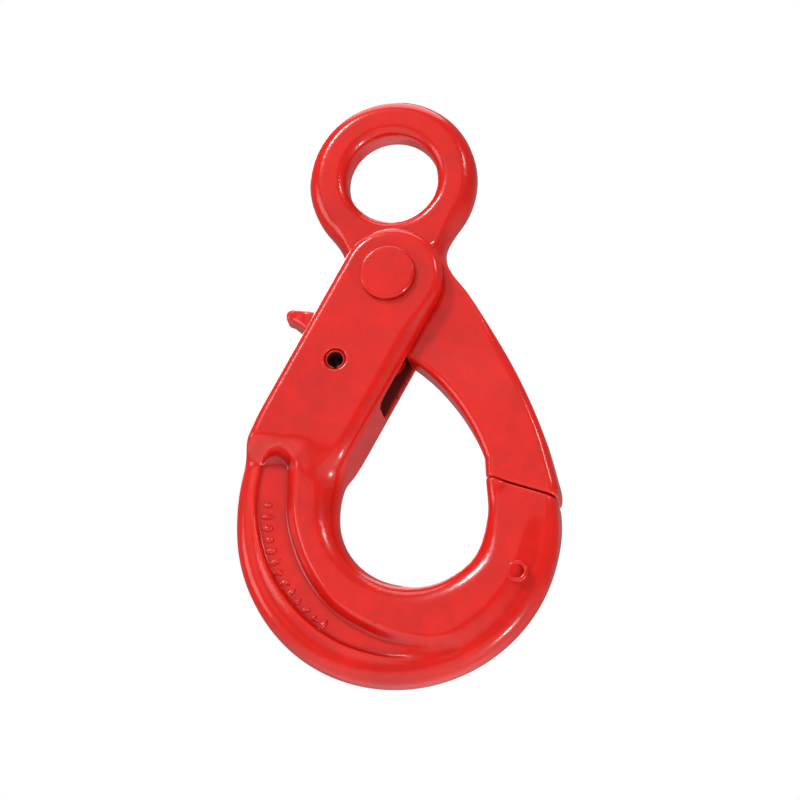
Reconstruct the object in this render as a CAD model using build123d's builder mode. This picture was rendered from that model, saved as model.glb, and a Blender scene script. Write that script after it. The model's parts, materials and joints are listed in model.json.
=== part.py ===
from build123d import *
import math
import os

# Self-locking eye hook for lifting gear, hanging from its eye.
# Millimetres. +Z up along the load line, +Y along the eye axis, +X towards the nose.
# The origin is the centre of the eye.

# ---- driving dimensions ------------------------------------------------------
EYE_R = 12.9            # eye bore radius
EYE_RING = 11.1         # radial width of the eye ring
EYE_T = 12.0            # thickness of eye, neck and hub
EYE_LIP = 3.2           # rounding at the mouth of the eye
EYE_ROUND = 5.6         # rounding of the ring's outside

PIN = (-1.9, -31.7)     # load pin axis (x, z)
PIN_R = 6.5
PIN_FIT = 0.06          # radial running clearance
HEAD_R, HEAD_T = 8.0, 2.0

LEVER = (-18.4, -55.6)  # trigger pin axis (x, z)
LEVER_PIN_R = 3.0
LEVER_BORE_R = 2.1      # hollow of the spring pin
SPLIT_W = 0.9           # slot along the spring pin

CHEEK_R = 14.6          # rounded head of the fork
HEAD_C = (-1.2, -32.1)  # centre of that head, a little to the throat side of the pin
CHEEK_T = 24.0          # thickness over both cheeks
SLOT_W = 12.6
LEAN = 32.0             # lean of the shank from the load line, degrees

ARM_T = 15.0            # thickness of the arm at its free end
SEAM = 0.4              # gap between the arm's end and the nose
TIP_IN, TIP_OUT = (21.7, -93.3), (42.4, -101.8)   # where the seam meets the edges

BOWL_C, BOWL_R = (0.3, -100.7), 21.4              # load seat
HIP = (-50.4, -102.2)    # widest point of the bowl, shank side
KNEE = (-41.9, -131.0)   # where the flank meets the belly
FLANK_C, FLANK_R = (6.1, -99.5), 56.9             # outside of the bowl, shank side
BELLY_C, BELLY_R = (-4.0, -105.7), 45.5           # outside of the bowl, nose side
BOWL_T = 16.6
BOWL_ROUND = 5.4
THROAT_R = 35.0         # curve between the bowl and the throat side of the shank
FORK_END = -76.0        # height where the flat cheeks end
WEB_T = 9.4             # web left by the recess on each side

OPEN_DEG = 45.0         # opening of the hook
LEVER_RATIO = 0.4       # trigger degrees for one degree of opening
NOTCH_R = 17.0          # roof of the notch
TOOTH = (-3.8, -49.0)   # locking corner of the tooth

lean = math.radians(LEAN)
UP = (math.sin(lean), math.cos(lean))             # along the shank, upwards
ACROSS = (math.cos(lean), -math.sin(lean))        # across the shank, to the throat


def polar(centre, radius, degrees):
    a = math.radians(degrees)
    return (centre[0] + radius * math.cos(a), centre[1] + radius * math.sin(a))


def shank(up, across):
    """Point of the shank, measured from the centre of the fork's head."""
    return (HEAD_C[0] + up * UP[0] + across * ACROSS[0],
            HEAD_C[1] + up * UP[1] + across * ACROSS[1])


def seam_point(point, gap):
    """A seam corner moved off the seam line by gap, upwards when positive."""
    run, drop = TIP_OUT[0] - TIP_IN[0], TIP_IN[1] - TIP_OUT[1]
    length = math.hypot(run, drop)
    return (point[0] + gap * drop / length, point[1] + gap * run / length)


def on_circle(centre, radius, x, sign=1):
    """Point of a circle at x, on its upper (1) or lower (-1) side."""
    return (x, centre[1] + sign * math.sqrt(radius ** 2 - (x - centre[0]) ** 2))


def notch_wall(open_deg):
    """Wall of the notch: the tooth's path in the arm's own frame, with clearance."""
    turn = math.radians(-LEVER_RATIO * open_deg)
    rx, rz = TOOTH[0] - LEVER[0], TOOTH[1] - LEVER[1]
    x = LEVER[0] + rx * math.cos(turn) - rz * math.sin(turn) - PIN[0]
    z = LEVER[1] + rx * math.sin(turn) + rz * math.cos(turn) - PIN[1]
    return polar(PIN, math.hypot(x, z) - 0.4, math.degrees(math.atan2(z, x)) - open_deg - 1.2)


side = Plane.XZ         # local x is +X, local y is +Z, extrusions run along -Y
os.makedirs("parts", exist_ok=True)

# ---- eye, hub and closing arm: one forging ------------------------------------
with BuildPart() as eye_ring:
    with BuildSketch(Plane.XY):
        with Locations((EYE_R + EYE_RING / 2, 0)):
            Rectangle(EYE_RING, EYE_T)
        fillet(vertices().group_by(Axis.X)[-1], EYE_ROUND)
        fillet(vertices().group_by(Axis.X)[0], EYE_LIP)
    revolve(axis=Axis.Y)

ARM_IN_C, ARM_IN_R = (-42.0, -104.15), 65.8       # inner edge of the arm
with BuildPart() as arm_blank:
    with BuildSketch(side):
        with BuildLine():
            outer = Spline((17.0, -15.5), (13.4, -23.2), (15.4, -30.6), (20.0, -37.9),
                           (31.0, -60.0), (38.2, -80.0), seam_point(TIP_OUT, SEAM / 2))
            seam = Line(outer @ 1, seam_point(TIP_IN, SEAM / 2))
            straight = Line(seam @ 1, on_circle(ARM_IN_C, ARM_IN_R, TIP_IN[0]))
            root = on_circle(ARM_IN_C, ARM_IN_R, 1.0)
            mid = on_circle(ARM_IN_C, ARM_IN_R, 13.0)
            inner = ThreePointArc(straight @ 1, mid, root)
            roof = (1.0, PIN[1] - math.sqrt(NOTCH_R ** 2 - (1.0 - PIN[0]) ** 2))
            wall = Line(inner @ 1, roof)
            start = notch_wall(0)
            ceiling = ThreePointArc(wall @ 1, polar(PIN, NOTCH_R, -88), start)
            ramp = Spline(*[notch_wall(a) for a in (0, 6, 12, 18, 24)])
            heel_r = math.dist(notch_wall(24), PIN)
            tail = polar(PIN, heel_r, -134)
            heel = ThreePointArc(ramp @ 1, polar(PIN, heel_r, -128), tail)
            back = Spline(tail, (-15.4, -38.5), (-15.3, -27.0), (-15.0, -20.5), (-18.6, -13.0))
            Line(back @ 1, outer @ 0)
        make_face()
    extrude(amount=ARM_T / 2, both=True)

with BuildPart() as arm_profile:
    with BuildSketch(Plane.YZ):
        with BuildLine():
            right = Line((EYE_T / 2, 0), (EYE_T / 2, -47))
            swell = Spline(right @ 1, (ARM_T / 2, -76), tangents=((0, -1), (0, -1)))
            end = Line(swell @ 1, (ARM_T / 2, -110))
            Line(end @ 1, (0, -110))
            Line((0, -110), (0, 0))
            Line((0, 0), right @ 0)
        make_face()
        mirror(about=Plane.YZ)
    extrude(amount=80, both=True)

with BuildPart() as arm_body:
    add(arm_blank.part)
    add(arm_profile.part, mode=Mode.INTERSECT)
    long_edges = arm_body.edges().filter_by(lambda e: abs(e.center().Y) > 5
                                            and e.center().Z < -40 and e.length > 30)
    fillet(long_edges, 2.6)

with BuildPart() as eye_arm:
    add(eye_ring.part)
    add(arm_body.part)
    with BuildSketch(side):
        Circle(EYE_R)
    extrude(amount=EYE_T / 2 - EYE_LIP, both=True, mode=Mode.SUBTRACT)
    with BuildSketch(side):
        with Locations(PIN):
            Circle(PIN_R + PIN_FIT)
    extrude(amount=EYE_T, both=True, mode=Mode.SUBTRACT)
eye_arm.part.label = "eye_arm"
export_step(eye_arm.part, "parts/eye_arm.step")

# ---- hook body: fork, shank, bowl and nose in one forging ----------------------
def body_outline():
    """Side outline of the hook body, tangent all the way from nose to nose."""
    rel = (BOWL_C[0] - HEAD_C[0], BOWL_C[1] - HEAD_C[1])
    up = rel[0] * UP[0] + rel[1] * UP[1]
    across = rel[0] * ACROSS[0] + rel[1] * ACROSS[1]
    inset = THROAT_R - (across - CHEEK_R)
    span = THROAT_R - BOWL_R
    rise = math.sqrt(span ** 2 - inset ** 2)
    seat_end = shank(up - BOWL_R * rise / span, across - BOWL_R * inset / span)
    throat_end = shank(up + rise, CHEEK_R)
    belly_end = seam_point((TIP_OUT[0] - 1.1, TIP_OUT[1] + 0.45), -SEAM / 2)

    back = Line(shank(0, -CHEEK_R), shank(-49.5, -CHEEK_R))
    flank = TangentArc(back @ 1, HIP, tangent=back % 1)
    hip = TangentArc(flank @ 1, KNEE, tangent=flank % 1)
    belly = TangentArc(hip @ 1, belly_end, tangent=hip % 1)
    seam = Line(belly @ 1, seam_point(TIP_IN, -SEAM / 2))
    nose = Line(seam @ 1, polar(BOWL_C, BOWL_R, 0))
    seat = ThreePointArc(nose @ 1, polar(BOWL_C, BOWL_R, 270), seat_end)
    throat = TangentArc(seat @ 1, throat_end, tangent=seat % 1)
    front = Line(throat @ 1, shank(0, CHEEK_R))
    ThreePointArc(front @ 1, shank(CHEEK_R, 0), back @ 0)


def from_bowl(edge):
    """Distance of an edge's middle from the centre of the bowl."""
    return math.dist(tuple(edge @ 0.5)[::2], BOWL_C)


with BuildPart() as bowl:
    with BuildSketch(side):
        with BuildLine():
            body_outline()
        make_face()
    extrude(amount=BOWL_T / 2, both=True)
    # the outline is tangent all the way round, so one rounding runs from nose to nose
    fillet(bowl.edges().filter_by(lambda e: abs((e @ 0.5).Y) > BOWL_T / 2 - 0.1
                                  and e.length > 40 and from_bowl(e) < 36), BOWL_ROUND)

with BuildPart() as fork:
    with BuildSketch(side):
        with BuildLine():
            body_outline()
        make_face()
    extrude(amount=CHEEK_T / 2, both=True)
    fillet(fork.edges().filter_by(lambda e: abs((e @ 0.5).Y) > CHEEK_T / 2 - 0.1
                                  and e.length > 40 and from_bowl(e) < 36), 2.6)
    # the cheeks end in a slope down to the thinner bowl
    with BuildSketch(Plane.YZ):
        Polygon((-CHEEK_T / 2, 5), (CHEEK_T / 2, 5), (CHEEK_T / 2, FORK_END),
                (BOWL_T / 2 - 0.6, FORK_END - 10), (0.6 - BOWL_T / 2, FORK_END - 10),
                (-CHEEK_T / 2, FORK_END), align=None)
    extrude(amount=80, both=True, mode=Mode.INTERSECT)

with BuildPart() as recess:
    for depth, grow in ((WEB_T / 2, 0.0), (BOWL_T / 2 + 1.0, 2.6)):
        with BuildSketch(side.offset(depth)):
            with BuildLine():
                edge = FLANK_R - 7.0 + grow
                low = BELLY_R - 7.0 + grow
                r1 = Spline(polar(FLANK_C, edge, 164), polar(FLANK_C, edge, 188),
                            polar(BELLY_C, low, 225), polar(BELLY_C, low, 256),
                            polar(BELLY_C, low + 0.6, 286))
                r2 = ThreePointArc(r1 @ 1, polar(BELLY_C, low - 1.6, 290 + grow),
                                   polar(BELLY_C, low - 3.6 - grow, 286))
                r3 = Spline(r2 @ 1, polar(BELLY_C, BELLY_R - 14.0 - grow, 250),
                            polar(FLANK_C, FLANK_R - 16.5 - grow, 203),
                            polar(FLANK_C, FLANK_R - 16.0 - grow, 182),
                            polar(FLANK_C, FLANK_R - 15.0 - grow, 164))
                ThreePointArc(r3 @ 1, polar(FLANK_C, FLANK_R - 11.0, 158.5 - grow), r1 @ 0)
            make_face()
    loft()
    mirror(about=Plane.XZ)

with BuildPart() as hook_body:
    add(bowl.part)
    add(fork.part)
    add(recess.part, mode=Mode.SUBTRACT)
    # slot for the hub and the trigger, open at the top, the back and the throat
    with BuildSketch(side):
        with BuildLine():
            s1 = Polyline(shank(-4, 60), shank(60, 30), shank(60, -60), shank(-4, -60),
                          (-36.0, -44.0), (-27.6, -51.5))
            s2 = ThreePointArc(s1 @ 1, polar(LEVER, 8.2, 218), polar(LEVER, 8.2, 262))
            Polyline(s2 @ 1, (-6.6, -69.0), (12.0, -69.0), s1 @ 0)
        make_face()
    extrude(amount=SLOT_W / 2, both=True, mode=Mode.SUBTRACT)
    with BuildSketch(side):
        with Locations(PIN):
            Circle(PIN_R)
        with Locations(LEVER):
            Circle(LEVER_PIN_R)
    extrude(amount=CHEEK_T, both=True, mode=Mode.SUBTRACT)
hook_body.part.label = "hook_body"
export_step(hook_body.part, "parts/hook_body.step")

# ---- load pin, headed on both sides --------------------------------------------
with BuildPart() as load_pin:
    with BuildSketch(side):
        with Locations(PIN):
            Circle(PIN_R)
    extrude(amount=CHEEK_T / 2 + HEAD_T / 2, both=True)
    for face in (side.offset(CHEEK_T / 2), side.offset(-CHEEK_T / 2)):
        with BuildSketch(face):
            with Locations(PIN):
                Circle(HEAD_R)
        extrude(amount=HEAD_T * (1 if face.origin.Y < 0 else -1))
    outside = load_pin.edges().filter_by(lambda e: abs(e.center().Y) > CHEEK_T / 2 + HEAD_T - 0.01)
    fillet(outside, 0.9)
load_pin.part.label = "load_pin"
export_step(load_pin.part, "parts/load_pin.step")

# ---- slotted spring pin the trigger turns on ------------------------------------
with BuildPart() as trigger_pin:
    with BuildSketch(side):
        with Locations(LEVER):
            Circle(LEVER_PIN_R)
            Circle(LEVER_BORE_R, mode=Mode.SUBTRACT)
        with Locations((LEVER[0], LEVER[1] - LEVER_PIN_R)):
            Rectangle(SPLIT_W, LEVER_PIN_R * 1.4, mode=Mode.SUBTRACT)
    extrude(amount=CHEEK_T / 2 - 0.6, both=True)
trigger_pin.part.label = "trigger_pin"
export_step(trigger_pin.part, "parts/trigger_pin.step")

# ---- trigger: thumb tab, pivot boss and locking tooth ---------------------------
TRIGGER_T = SLOT_W - 1.2
BOSS_T = 5.0            # width of the pivot boss, between the two spring coils
COIL_POCKET_R = 6.3
WIRE_R = 0.5
COIL_R = 4.5            # mean radius of the spring coils
BRIDGE_AT = 270         # where the spring's middle crosses the boss, degrees
with BuildPart() as trigger:
    with BuildSketch(side):
        with BuildLine():
            tab = Polyline((-24.0, -38.4), (-31.6, -36.0), (-33.0, -38.4), (-27.2, -42.6),
                           (-24.6, -52.6))
            boss = ThreePointArc(tab @ 1, polar(LEVER, 6.9, 225), polar(LEVER, 6.9, 275))
            nose = Polyline(boss @ 1, (-2.0, -56.0), (0.0, -53.4), (-0.9, -49.6), TOOTH,
                            (-4.8, -51.4), (-9.0, -51.9), (-16.4, -48.6))
            Spline(nose @ 1, (-20.6, -44.2), tab @ 0)
        make_face()
        fillet(vertices().group_by(Axis.X)[0], 1.1)
    extrude(amount=TRIGGER_T / 2, both=True)
    with BuildSketch(side.offset(BOSS_T / 2)):
        with Locations(LEVER):
            Circle(COIL_POCKET_R)
    pocket = extrude(amount=TRIGGER_T, mode=Mode.SUBTRACT)
    with BuildSketch(side.offset(-BOSS_T / 2)):
        with Locations(LEVER):
            Circle(COIL_POCKET_R)
    extrude(amount=-TRIGGER_T, mode=Mode.SUBTRACT)
    with BuildSketch(side):
        with Locations(LEVER):
            Circle(LEVER_PIN_R + PIN_FIT)
        with Locations(polar(LEVER, COIL_R, BRIDGE_AT)):
            Circle(WIRE_R + 0.1)
    extrude(amount=TRIGGER_T, both=True, mode=Mode.SUBTRACT)
trigger.part.label = "trigger"
export_step(trigger.part, "parts/trigger.step")

# ---- double torsion spring, two coils and a bridge behind the thumb arm ---------
COIL_PITCH = 1.15
TURNS = 2.0
COIL_IN = BOSS_T / 2 + 0.3 + WIRE_R
with BuildPart() as coil:
    with BuildLine():
        turn = Helix(pitch=COIL_PITCH, height=COIL_PITCH * TURNS, radius=COIL_R,
                     center=(LEVER[0], -COIL_IN, LEVER[1]), direction=(0, -1, 0))
    with BuildSketch(Plane(origin=turn @ 0, z_dir=turn % 0)):
        Circle(WIRE_R)
    sweep(path=turn)
    # the straight leg that bears on the floor of the slot
    with BuildSketch(Plane(origin=turn @ 1, z_dir=turn % 1)):
        Circle(WIRE_R)
    extrude(amount=3.0)
with BuildPart() as trigger_spring:
    add(coil.part)
    mirror(coil.part, about=Plane.XZ)
    # the bridge runs under the boss, just clear of it, and joins the two coils
    first = turn @ 0
    with BuildLine() as bridge:
        Polyline(first, (first.X, -first.Y, first.Z))
    with BuildSketch(Plane(origin=first, z_dir=(0, 1, 0))):
        Circle(WIRE_R)
    extrude(amount=-2 * first.Y)
trigger_spring.part.label = "trigger_spring"
export_step(trigger_spring.part, "parts/trigger_spring.step")
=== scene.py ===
import itertools
import json
import math

import bmesh
import bpy
import numpy as np
from mathutils import Matrix, Vector


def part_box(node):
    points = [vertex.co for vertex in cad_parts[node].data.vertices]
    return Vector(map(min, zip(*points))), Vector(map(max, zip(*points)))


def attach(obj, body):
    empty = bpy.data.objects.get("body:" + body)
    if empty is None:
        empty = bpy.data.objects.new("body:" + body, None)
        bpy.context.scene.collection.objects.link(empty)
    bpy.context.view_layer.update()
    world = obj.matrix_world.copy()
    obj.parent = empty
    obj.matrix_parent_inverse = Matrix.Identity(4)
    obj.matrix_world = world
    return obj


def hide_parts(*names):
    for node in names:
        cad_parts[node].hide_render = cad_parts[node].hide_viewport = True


bl_info = {
    "name": "Self-locking eye hook",
    "version": (1, 0, 0),
    "blender": (4, 5, 0),
    "location": "View3D > Sidebar > Hook",
    "description": "Builds an enamelled self-locking lifting hook round its frame",
    "category": "Object",
}

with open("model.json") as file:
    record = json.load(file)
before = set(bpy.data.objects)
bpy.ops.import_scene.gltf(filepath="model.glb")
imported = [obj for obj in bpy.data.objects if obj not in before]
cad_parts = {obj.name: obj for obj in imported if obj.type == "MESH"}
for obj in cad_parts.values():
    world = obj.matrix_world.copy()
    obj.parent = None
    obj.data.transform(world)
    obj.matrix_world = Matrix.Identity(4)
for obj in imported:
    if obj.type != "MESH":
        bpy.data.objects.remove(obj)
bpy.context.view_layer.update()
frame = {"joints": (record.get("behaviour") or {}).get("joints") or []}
JOINT_AT = {j["name"]: j["pos_m"] for j in frame["joints"]}
MM = 1000.0  # shapes are worked out in millimetres


def in_mm(point):
    """The (x, z) of a point in metres, in millimetres."""
    return point[0] * MM, point[2] * MM


PIN = in_mm(JOINT_AT["hook_open"])  # axis of the load pin
LEVER = in_mm(JOINT_AT["trigger_press"])  # axis of the trigger's pin
EYE_BOX = [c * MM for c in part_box("eye_arm")]
BODY_BOX = [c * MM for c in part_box("hook_body")]
HEAD_BOX = [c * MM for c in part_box("load_pin")]
EYE_OUT = EYE_BOX[1].z  # outer radius of the eye
CHEEK_H = BODY_BOX[1].y  # half thickness over the cheeks
ARM_H = EYE_BOX[1].y  # half thickness of the arm's free end


# ---- sizes and finishes a user may change ----
def length(name, text, default):
    return bpy.props.FloatProperty(name=name, description=text, default=default / MM,
                                   subtype="DISTANCE", unit="LENGTH")


def colour(name, text, default):
    return bpy.props.FloatVectorProperty(name=name, description=text, default=default,
                                         size=4, min=0.0, max=1.0, subtype="COLOR")


def amount(name, text, default):
    return bpy.props.FloatProperty(name=name, description=text, default=default,
                                   min=0.0, max=1.0, subtype="FACTOR")


class HookSizes(bpy.types.PropertyGroup):
    """Sizes of the forgings and the small parts."""
    body_cell: length("Body mesh cell", "Mesh size on the hook body", 0.62)
    arm_cell: length("Arm mesh cell", "Mesh size on the eye and arm", 0.52)
    lever_cell: length("Trigger mesh cell", "Mesh size on the trigger", 0.34)
    cheek_round: length("Cheek rounding", "Edge radius of the fork", 2.7)
    seat_round: length("Seat rounding", "Edge radius of the load seat", 7.9)
    rim_round: length("Rim rounding", "Edge radius outside the bowl", 4.4)
    web_half: length("Web", "Half thickness of the web in the recess", 4.6)
    rim_half: length("Rim", "Half thickness of the outer rim", 5.6)
    wire: length("Spring wire", "Diameter of the spring wire", 1.0)
    coil: length("Spring coil", "Mean radius of the spring's coils", 4.5)


class HookFinish(bpy.types.PropertyGroup):
    """Colours and roughness of the finishes."""
    enamel: colour("Enamel", "Red enamel on the forgings", (0.66, 0.008, 0.003, 1.0))
    # painted highlight: lighter, pinker enamel laid on convex edges
    enamel_highlight: colour("Enamel, thin", "Enamel drawn thin over edges", (0.74, 0.026, 0.016, 1.0))
    # darker enamel: random mottling, and painted shade in hollows
    enamel_dark_and_shade: colour("Enamel, pooled", "Enamel pooled in hollows", (0.40, 0.003, 0.001, 1.0))
    # painted shade: a near-black red laid inside the slot, on the hub between the cheeks and in the
    # pin's bore, where shade falls
    painted_shade: colour("Grime", "Dirt and bare primer inside the slot", (0.055, 0.006, 0.004, 1.0))
    chip: colour("Chip", "Primer and scale where enamel is knocked off", (0.10, 0.018, 0.014, 1.0))
    wire: colour("Spring steel", "Drawn wire of the spring", (0.42, 0.41, 0.40, 1.0))
    ground: colour("Floor", "Pale floor under the hook", (0.86, 0.86, 0.86, 1.0))
    gloss: amount("Enamel roughness", "Mean roughness of the enamel", 0.23)


# ---- outlines in the plane of the hook, in millimetres ----
def polar(centre, radius, degrees):
    a = math.radians(degrees)
    return centre[0] + radius * math.cos(a), centre[1] + radius * math.sin(a)


def arc(centre, radius, start, end, count=40):
    """Points along a circle from one angle to another, in degrees."""
    return [polar(centre, radius, a) for a in np.linspace(start, end, count)]


def angle_to(centre, point):
    """Direction of a point from a centre, in degrees."""
    return math.degrees(math.atan2(point[1] - centre[1], point[0] - centre[0]))


def swept(centre, a, b, left, count):
    """Points along the circle round a centre from a to b, turning left or right."""
    first, last = angle_to(centre, a), angle_to(centre, b)
    if left:
        last += 360 * (last < first)
    else:
        last -= 360 * (last > first)
    return arc(centre, math.dist(centre, a), first, last, count)


def arc_through(a, b, c, count=40):
    """Points along the circle through three points."""
    ax, az = a
    bx, bz = b[0] - ax, b[1] - az
    cx, cz = c[0] - ax, c[1] - az
    turn = 2 * (bx * cz - bz * cx)
    ux = (cz * (bx * bx + bz * bz) - bz * (cx * cx + cz * cz)) / turn
    uz = (bx * (cx * cx + cz * cz) - cx * (bx * bx + bz * bz)) / turn
    return swept((ax + ux, az + uz), a, c, turn > 0, count)


def arc_along(start, heading, end, count=40):
    """Points along the circle that leaves start in a direction and reaches end."""
    dx, dz = end[0] - start[0], end[1] - start[1]
    size = math.hypot(*heading)
    nx, nz = -heading[1] / size, heading[0] / size
    radius = (dx * dx + dz * dz) / (2 * (dx * nx + dz * nz))
    centre = (start[0] + radius * nx, start[1] + radius * nz)
    return swept(centre, start, end, radius > 0, count)


def smooth_line(points, count=60):
    """A centripetal curve through a few points."""
    p = [2 * np.array(points[0]) - np.array(points[1])] + [np.array(q, float) for q in points]
    p.append(2 * p[-1] - p[-2])
    out = []
    share = max(3, count // (len(points) - 1))
    for i in range(1, len(p) - 2):
        k = [0.0]
        for j in range(3):
            k.append(k[-1] + max(1e-6, np.linalg.norm(p[i + j] - p[i + j - 1])) ** 0.5)
        for t in np.linspace(k[1], k[2], share, endpoint=False):
            a = [((k[j + 1] - t) * p[i + j - 1] + (t - k[j]) * p[i + j]) / (k[j + 1] - k[j])
                 for j in range(3)]
            b = [((k[j + 2] - t) * a[j] + (t - k[j]) * a[j + 1]) / (k[j + 2] - k[j])
                 for j in range(2)]
            out.append(tuple(((k[2] - t) * b[0] + (t - k[1]) * b[1]) / (k[2] - k[1])))
    out.append(tuple(p[-2]))
    return out


LEAN_DEG = 32.0  # lean of the shank from the load line
LEAN = math.radians(LEAN_DEG)
UP = (math.sin(LEAN), math.cos(LEAN))
ACROSS = (math.cos(LEAN), -math.sin(LEAN))
HEAD_C, CHEEK_R = (-1.2, -32.1), 14.6  # rounded head of the fork
BACK_L = 49.5  # straight back of the shank below the head
TIP_IN, TIP_OUT = (21.7, -93.3), (42.4, -101.8)  # where the seam meets the edges
BEAK_OUT = (TIP_OUT[0] - 1.1, TIP_OUT[1] + 0.45)  # outer corner of the nose at the seam
SEAM, PAST_SEAM = 0.5, 7.0  # gap at the seam; how far outlines run on past it
BOWL_C, BOWL_R = (0.3, -100.7), 21.4  # load seat
HIP = (-50.4, -102.2)  # widest point of the bowl, shank side
KNEE = (-41.9, -131.0)  # where the hip meets the belly
THROAT_R = 35.0  # curve from the shank into the seat
ARM_IN_C, ARM_IN_R = (-42.0, -104.15), 65.8  # inner edge of the arm


def shank(up, across):
    """Point of the shank, measured from the centre of the fork's head."""
    return (HEAD_C[0] + up * UP[0] + across * ACROSS[0],
            HEAD_C[1] + up * UP[1] + across * ACROSS[1])


def seam_point(point, gap):
    """The point moved up, square to the seam line."""
    run, drop = TIP_OUT[0] - TIP_IN[0], TIP_IN[1] - TIP_OUT[1]
    size = math.hypot(run, drop)
    return point[0] + gap * drop / size, point[1] + gap * run / size


def above_seam(x, z):
    """Distance of points above the seam line."""
    up = seam_point((0.0, 0.0), 1.0)
    return (x - TIP_IN[0]) * up[0] + (z - TIP_IN[1]) * up[1]


def onward(before, point, reach):
    """A point further along the line through two points."""
    size = math.dist(before, point)
    return tuple(p + (p - b) * reach / size for b, p in zip(before, point))


def body_sides():
    """Outer and inner side lines of the hook body, each from the top of the fork to the seam."""
    rel = (BOWL_C[0] - HEAD_C[0], BOWL_C[1] - HEAD_C[1])
    up = rel[0] * UP[0] + rel[1] * UP[1]
    across = rel[0] * ACROSS[0] + rel[1] * ACROSS[1]
    inset = THROAT_R - (across - CHEEK_R)
    span = THROAT_R - BOWL_R
    rise = math.sqrt(span ** 2 - inset ** 2)
    seat_end = shank(up - BOWL_R * rise / span, across - BOWL_R * inset / span)
    throat_end = shank(up + rise, CHEEK_R)
    belly_end = seam_point(BEAK_OUT, -SEAM / 2)
    top = 90.0 - LEAN_DEG
    outer = arc(HEAD_C, CHEEK_R, top, top + 90.0, 30) + [shank(-BACK_L, -CHEEK_R)]
    heading = (-UP[0], -UP[1])
    for end, count in ((HIP, 40), (KNEE, 40), (belly_end, 110)):
        outer += arc_along(outer[-1], heading, end, count)[1:]
        heading = (outer[-1][0] - outer[-2][0], outer[-1][1] - outer[-2][1])
    outer.append(onward(outer[-2], outer[-1], PAST_SEAM))
    inner = arc(HEAD_C, CHEEK_R, top, top - 90.0, 30) + [throat_end]
    seat_start = angle_to(BOWL_C, seat_end) % 360
    inner += arc_along(throat_end, (-UP[0], -UP[1]), seat_end, 24)[1:]
    inner += arc(BOWL_C, BOWL_R, seat_start, 360, 90)[1:]
    inner += [(TIP_IN[0], TIP_IN[1] + PAST_SEAM)]
    return outer, inner


RECESS_RIM = [(-42.0, -83.0), (-43.9, -91.0), (-44.2, -99.5), (-42.6, -110.5), (-38.6, -120.5),
              (-32.0, -130.0), (-23.0, -137.8), (-12.0, -142.8), (-1.0, -144.8), (7.5, -144.4)]
RECESS_SADDLE = [(8.5, -141.0), (-4.5, -138.8), (-15.2, -133.4), (-24.0, -126.0),
                 (-31.0, -113.5), (-34.0, -100.0), (-33.6, -91.0), (-33.0, -84.6)]
RECESS_CROWN, RECESS_CAP = (-37.6, -80.2), (10.6, -142.9)  # its rounded ends


def recess_outline():
    return (smooth_line(RECESS_RIM, 130)
            + arc_through(RECESS_RIM[-1], RECESS_CAP, RECESS_SADDLE[0], 9)[1:]
            + smooth_line(RECESS_SADDLE, 120)[1:]
            + arc_through(RECESS_SADDLE[-1], RECESS_CROWN, RECESS_RIM[0], 15)[1:-1])


def slot_outline():
    """Slot of the fork, open far past the head and round the trigger's heel."""
    far = 60.0
    path = [shank(-4.0, far), shank(far, far / 2), shank(far, -far), shank(-4.0, -far),
            (-36.0, -44.0), (-27.6, -51.5)]
    path += arc(LEVER, 8.2, 190, 262, 16) + [(-6.6, -69.0), (12.0, -69.0)]
    return path


TOOTH = (-3.8, -49.0)  # tip of the trigger's tooth, locked
NOTCH_R = 17.0  # roof of the notch, round the load pin
HUB_X = 1.2  # where the notch meets the arm's inner edge
LEVER_RATIO = 0.4  # degrees of trigger per degree of opening
TOOTH_ROOM, TOOTH_LEAD = 0.5, 1.4  # clearance of the tooth: radial, in degrees


def notch_wall(open_deg):
    """Where the hub has to end for the tooth to pass at an opening angle."""
    turn = math.radians(-LEVER_RATIO * open_deg)
    rx, rz = TOOTH[0] - LEVER[0], TOOTH[1] - LEVER[1]
    x = LEVER[0] + rx * math.cos(turn) - rz * math.sin(turn) - PIN[0]
    z = LEVER[1] + rx * math.sin(turn) + rz * math.cos(turn) - PIN[1]
    return polar(PIN, math.hypot(x, z) - TOOTH_ROOM,
                 math.degrees(math.atan2(z, x)) - open_deg - TOOTH_LEAD)


def arm_outline():
    """Hub, neck and closing arm, with the notch for the trigger's tooth."""
    def inner_at(x):
        return x, ARM_IN_C[1] + math.sqrt(ARM_IN_R ** 2 - (x - ARM_IN_C[0]) ** 2)

    outer = smooth_line([(12.4, -12.0), (12.6, -18.0), (13.2, -23.6), (15.4, -30.6), (20.0, -37.9),
                         (31.0, -60.0), (38.2, -80.0), (41.0, -92.5), (41.9, -98.6), (41.0, -101.9),
                         (38.0, -105.5)], 150)
    inner = [(TIP_IN[0], TIP_IN[1] - PAST_SEAM)]
    inner += arc_through(inner_at(TIP_IN[0]), inner_at(13.0), inner_at(HUB_X), 60)
    roof = (HUB_X, PIN[1] - math.sqrt(NOTCH_R ** 2 - (HUB_X - PIN[0]) ** 2))
    notch = arc_through(roof, polar(PIN, NOTCH_R, -88), notch_wall(0), 12)
    ramp = [notch_wall(a) for a in (0, 6, 12, 18, 24)]
    heel_r = math.dist(ramp[-1], PIN)
    heel = arc(PIN, heel_r, angle_to(PIN, ramp[-1]), -134, 8)
    back = smooth_line([heel[-1], (-15.2, -38.5), (-15.1, -29.0), (-14.6, -21.5),
                        (-13.6, -16.0), (-12.4, -12.0)], 60)
    return outer + inner + notch + smooth_line(ramp, 30)[1:] + heel[1:] + back[1:]


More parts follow.
